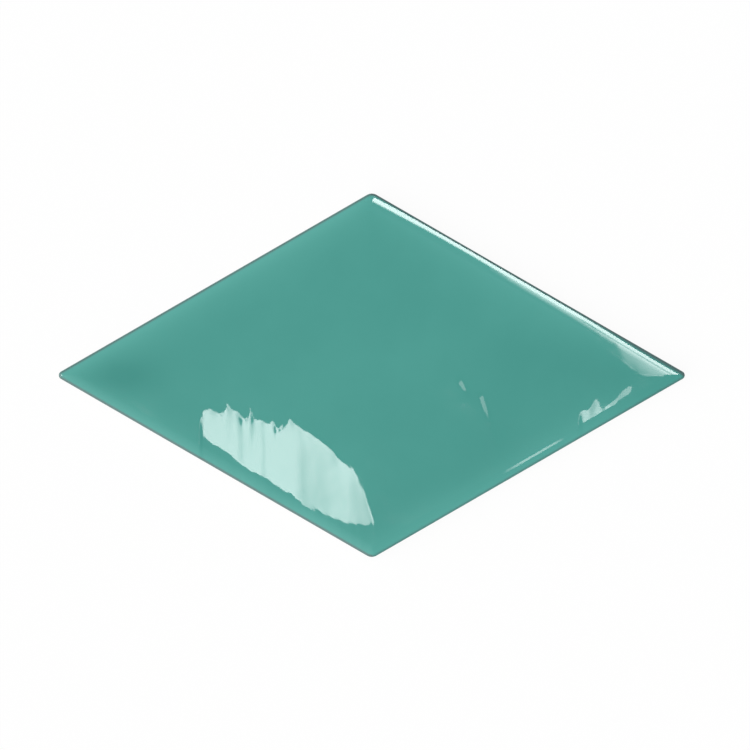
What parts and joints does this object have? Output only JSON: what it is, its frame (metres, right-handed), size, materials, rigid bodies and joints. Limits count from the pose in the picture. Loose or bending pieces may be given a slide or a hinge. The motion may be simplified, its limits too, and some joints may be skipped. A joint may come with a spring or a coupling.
{
  "type": "rhombus wall tile",
  "caption": "Flat rhombus ceramic wall tile with a glossy, gently rippled teal glaze, cushioned edges and a keyed back for adhesive.",
  "frame": {"origin": "centre of the back, on the plane that the tile is bedded on", "axes": "+Z out of the glazed face, +X along the long diagonal, +Y along the short diagonal"},
  "size_m": [0.263, 0.1526, 0.0085],
  "materials": {
    "teal_glaze": "gloss"
  },
  "bodies": {
    "root": {"rhombus_tile": "teal_glaze"}
  },
  "joints": []
}
